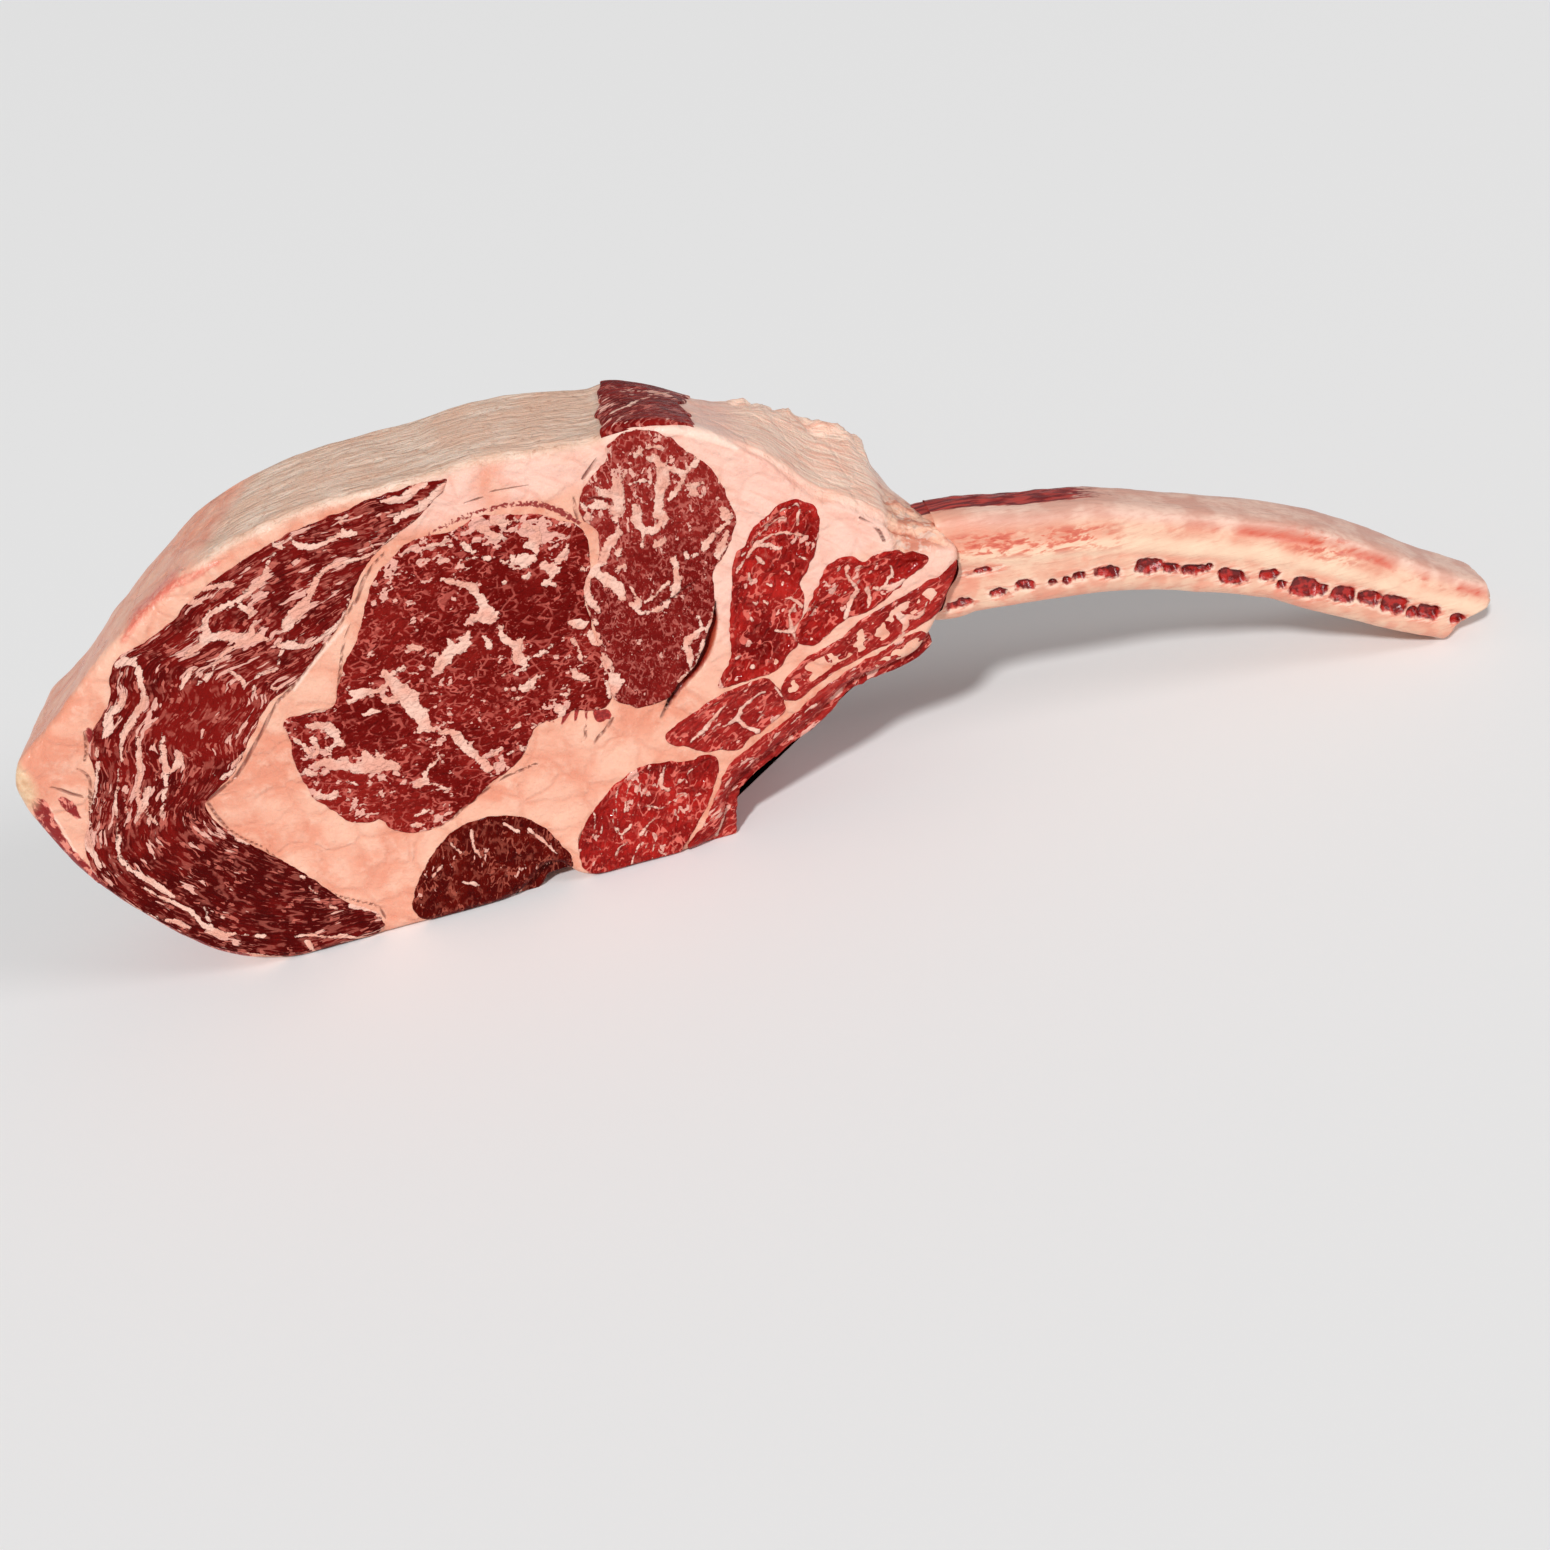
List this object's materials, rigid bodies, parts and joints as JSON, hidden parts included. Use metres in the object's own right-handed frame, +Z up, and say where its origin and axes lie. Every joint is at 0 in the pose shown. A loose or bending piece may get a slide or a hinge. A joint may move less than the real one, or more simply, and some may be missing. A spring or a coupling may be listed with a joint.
{
  "type": "tomahawk steak",
  "caption": "Thick raw beef rib steak with marbled muscles set in fat and a long cleaned rib bone for a handle, standing on its trimmed lower edge",
  "frame": {"origin": "middle of the steak's outline, on the surface it stands on", "axes": "+X from the outer fat along the steak to the rib's broken end, -Y out of the cut face that the picture shows, +Z up"},
  "size_m": [0.43, 0.0504, 0.1381],
  "materials": {
    "fat": "moist, waxy",
    "dark_lean": "wet",
    "lean": "wet",
    "bright_lean": "wet",
    "bone": "moist"
  },
  "bodies": {
    "root": {"fat_body": "fat", "cap_muscle": "dark_lean", "chain_muscle": "dark_lean", "eye_muscle": "lean", "crown_muscle": "lean", "top_muscle": "lean", "costal_muscle": "bright_lean", "strip_muscle": "bright_lean", "flank_muscle": "bright_lean", "skirt_muscle": "bright_lean", "rib_muscle_upper": "bright_lean", "rib_muscle_lower": "bright_lean", "rib_muscle_back": "bright_lean", "rib_bone": "bone"}
  },
  "joints": []
}
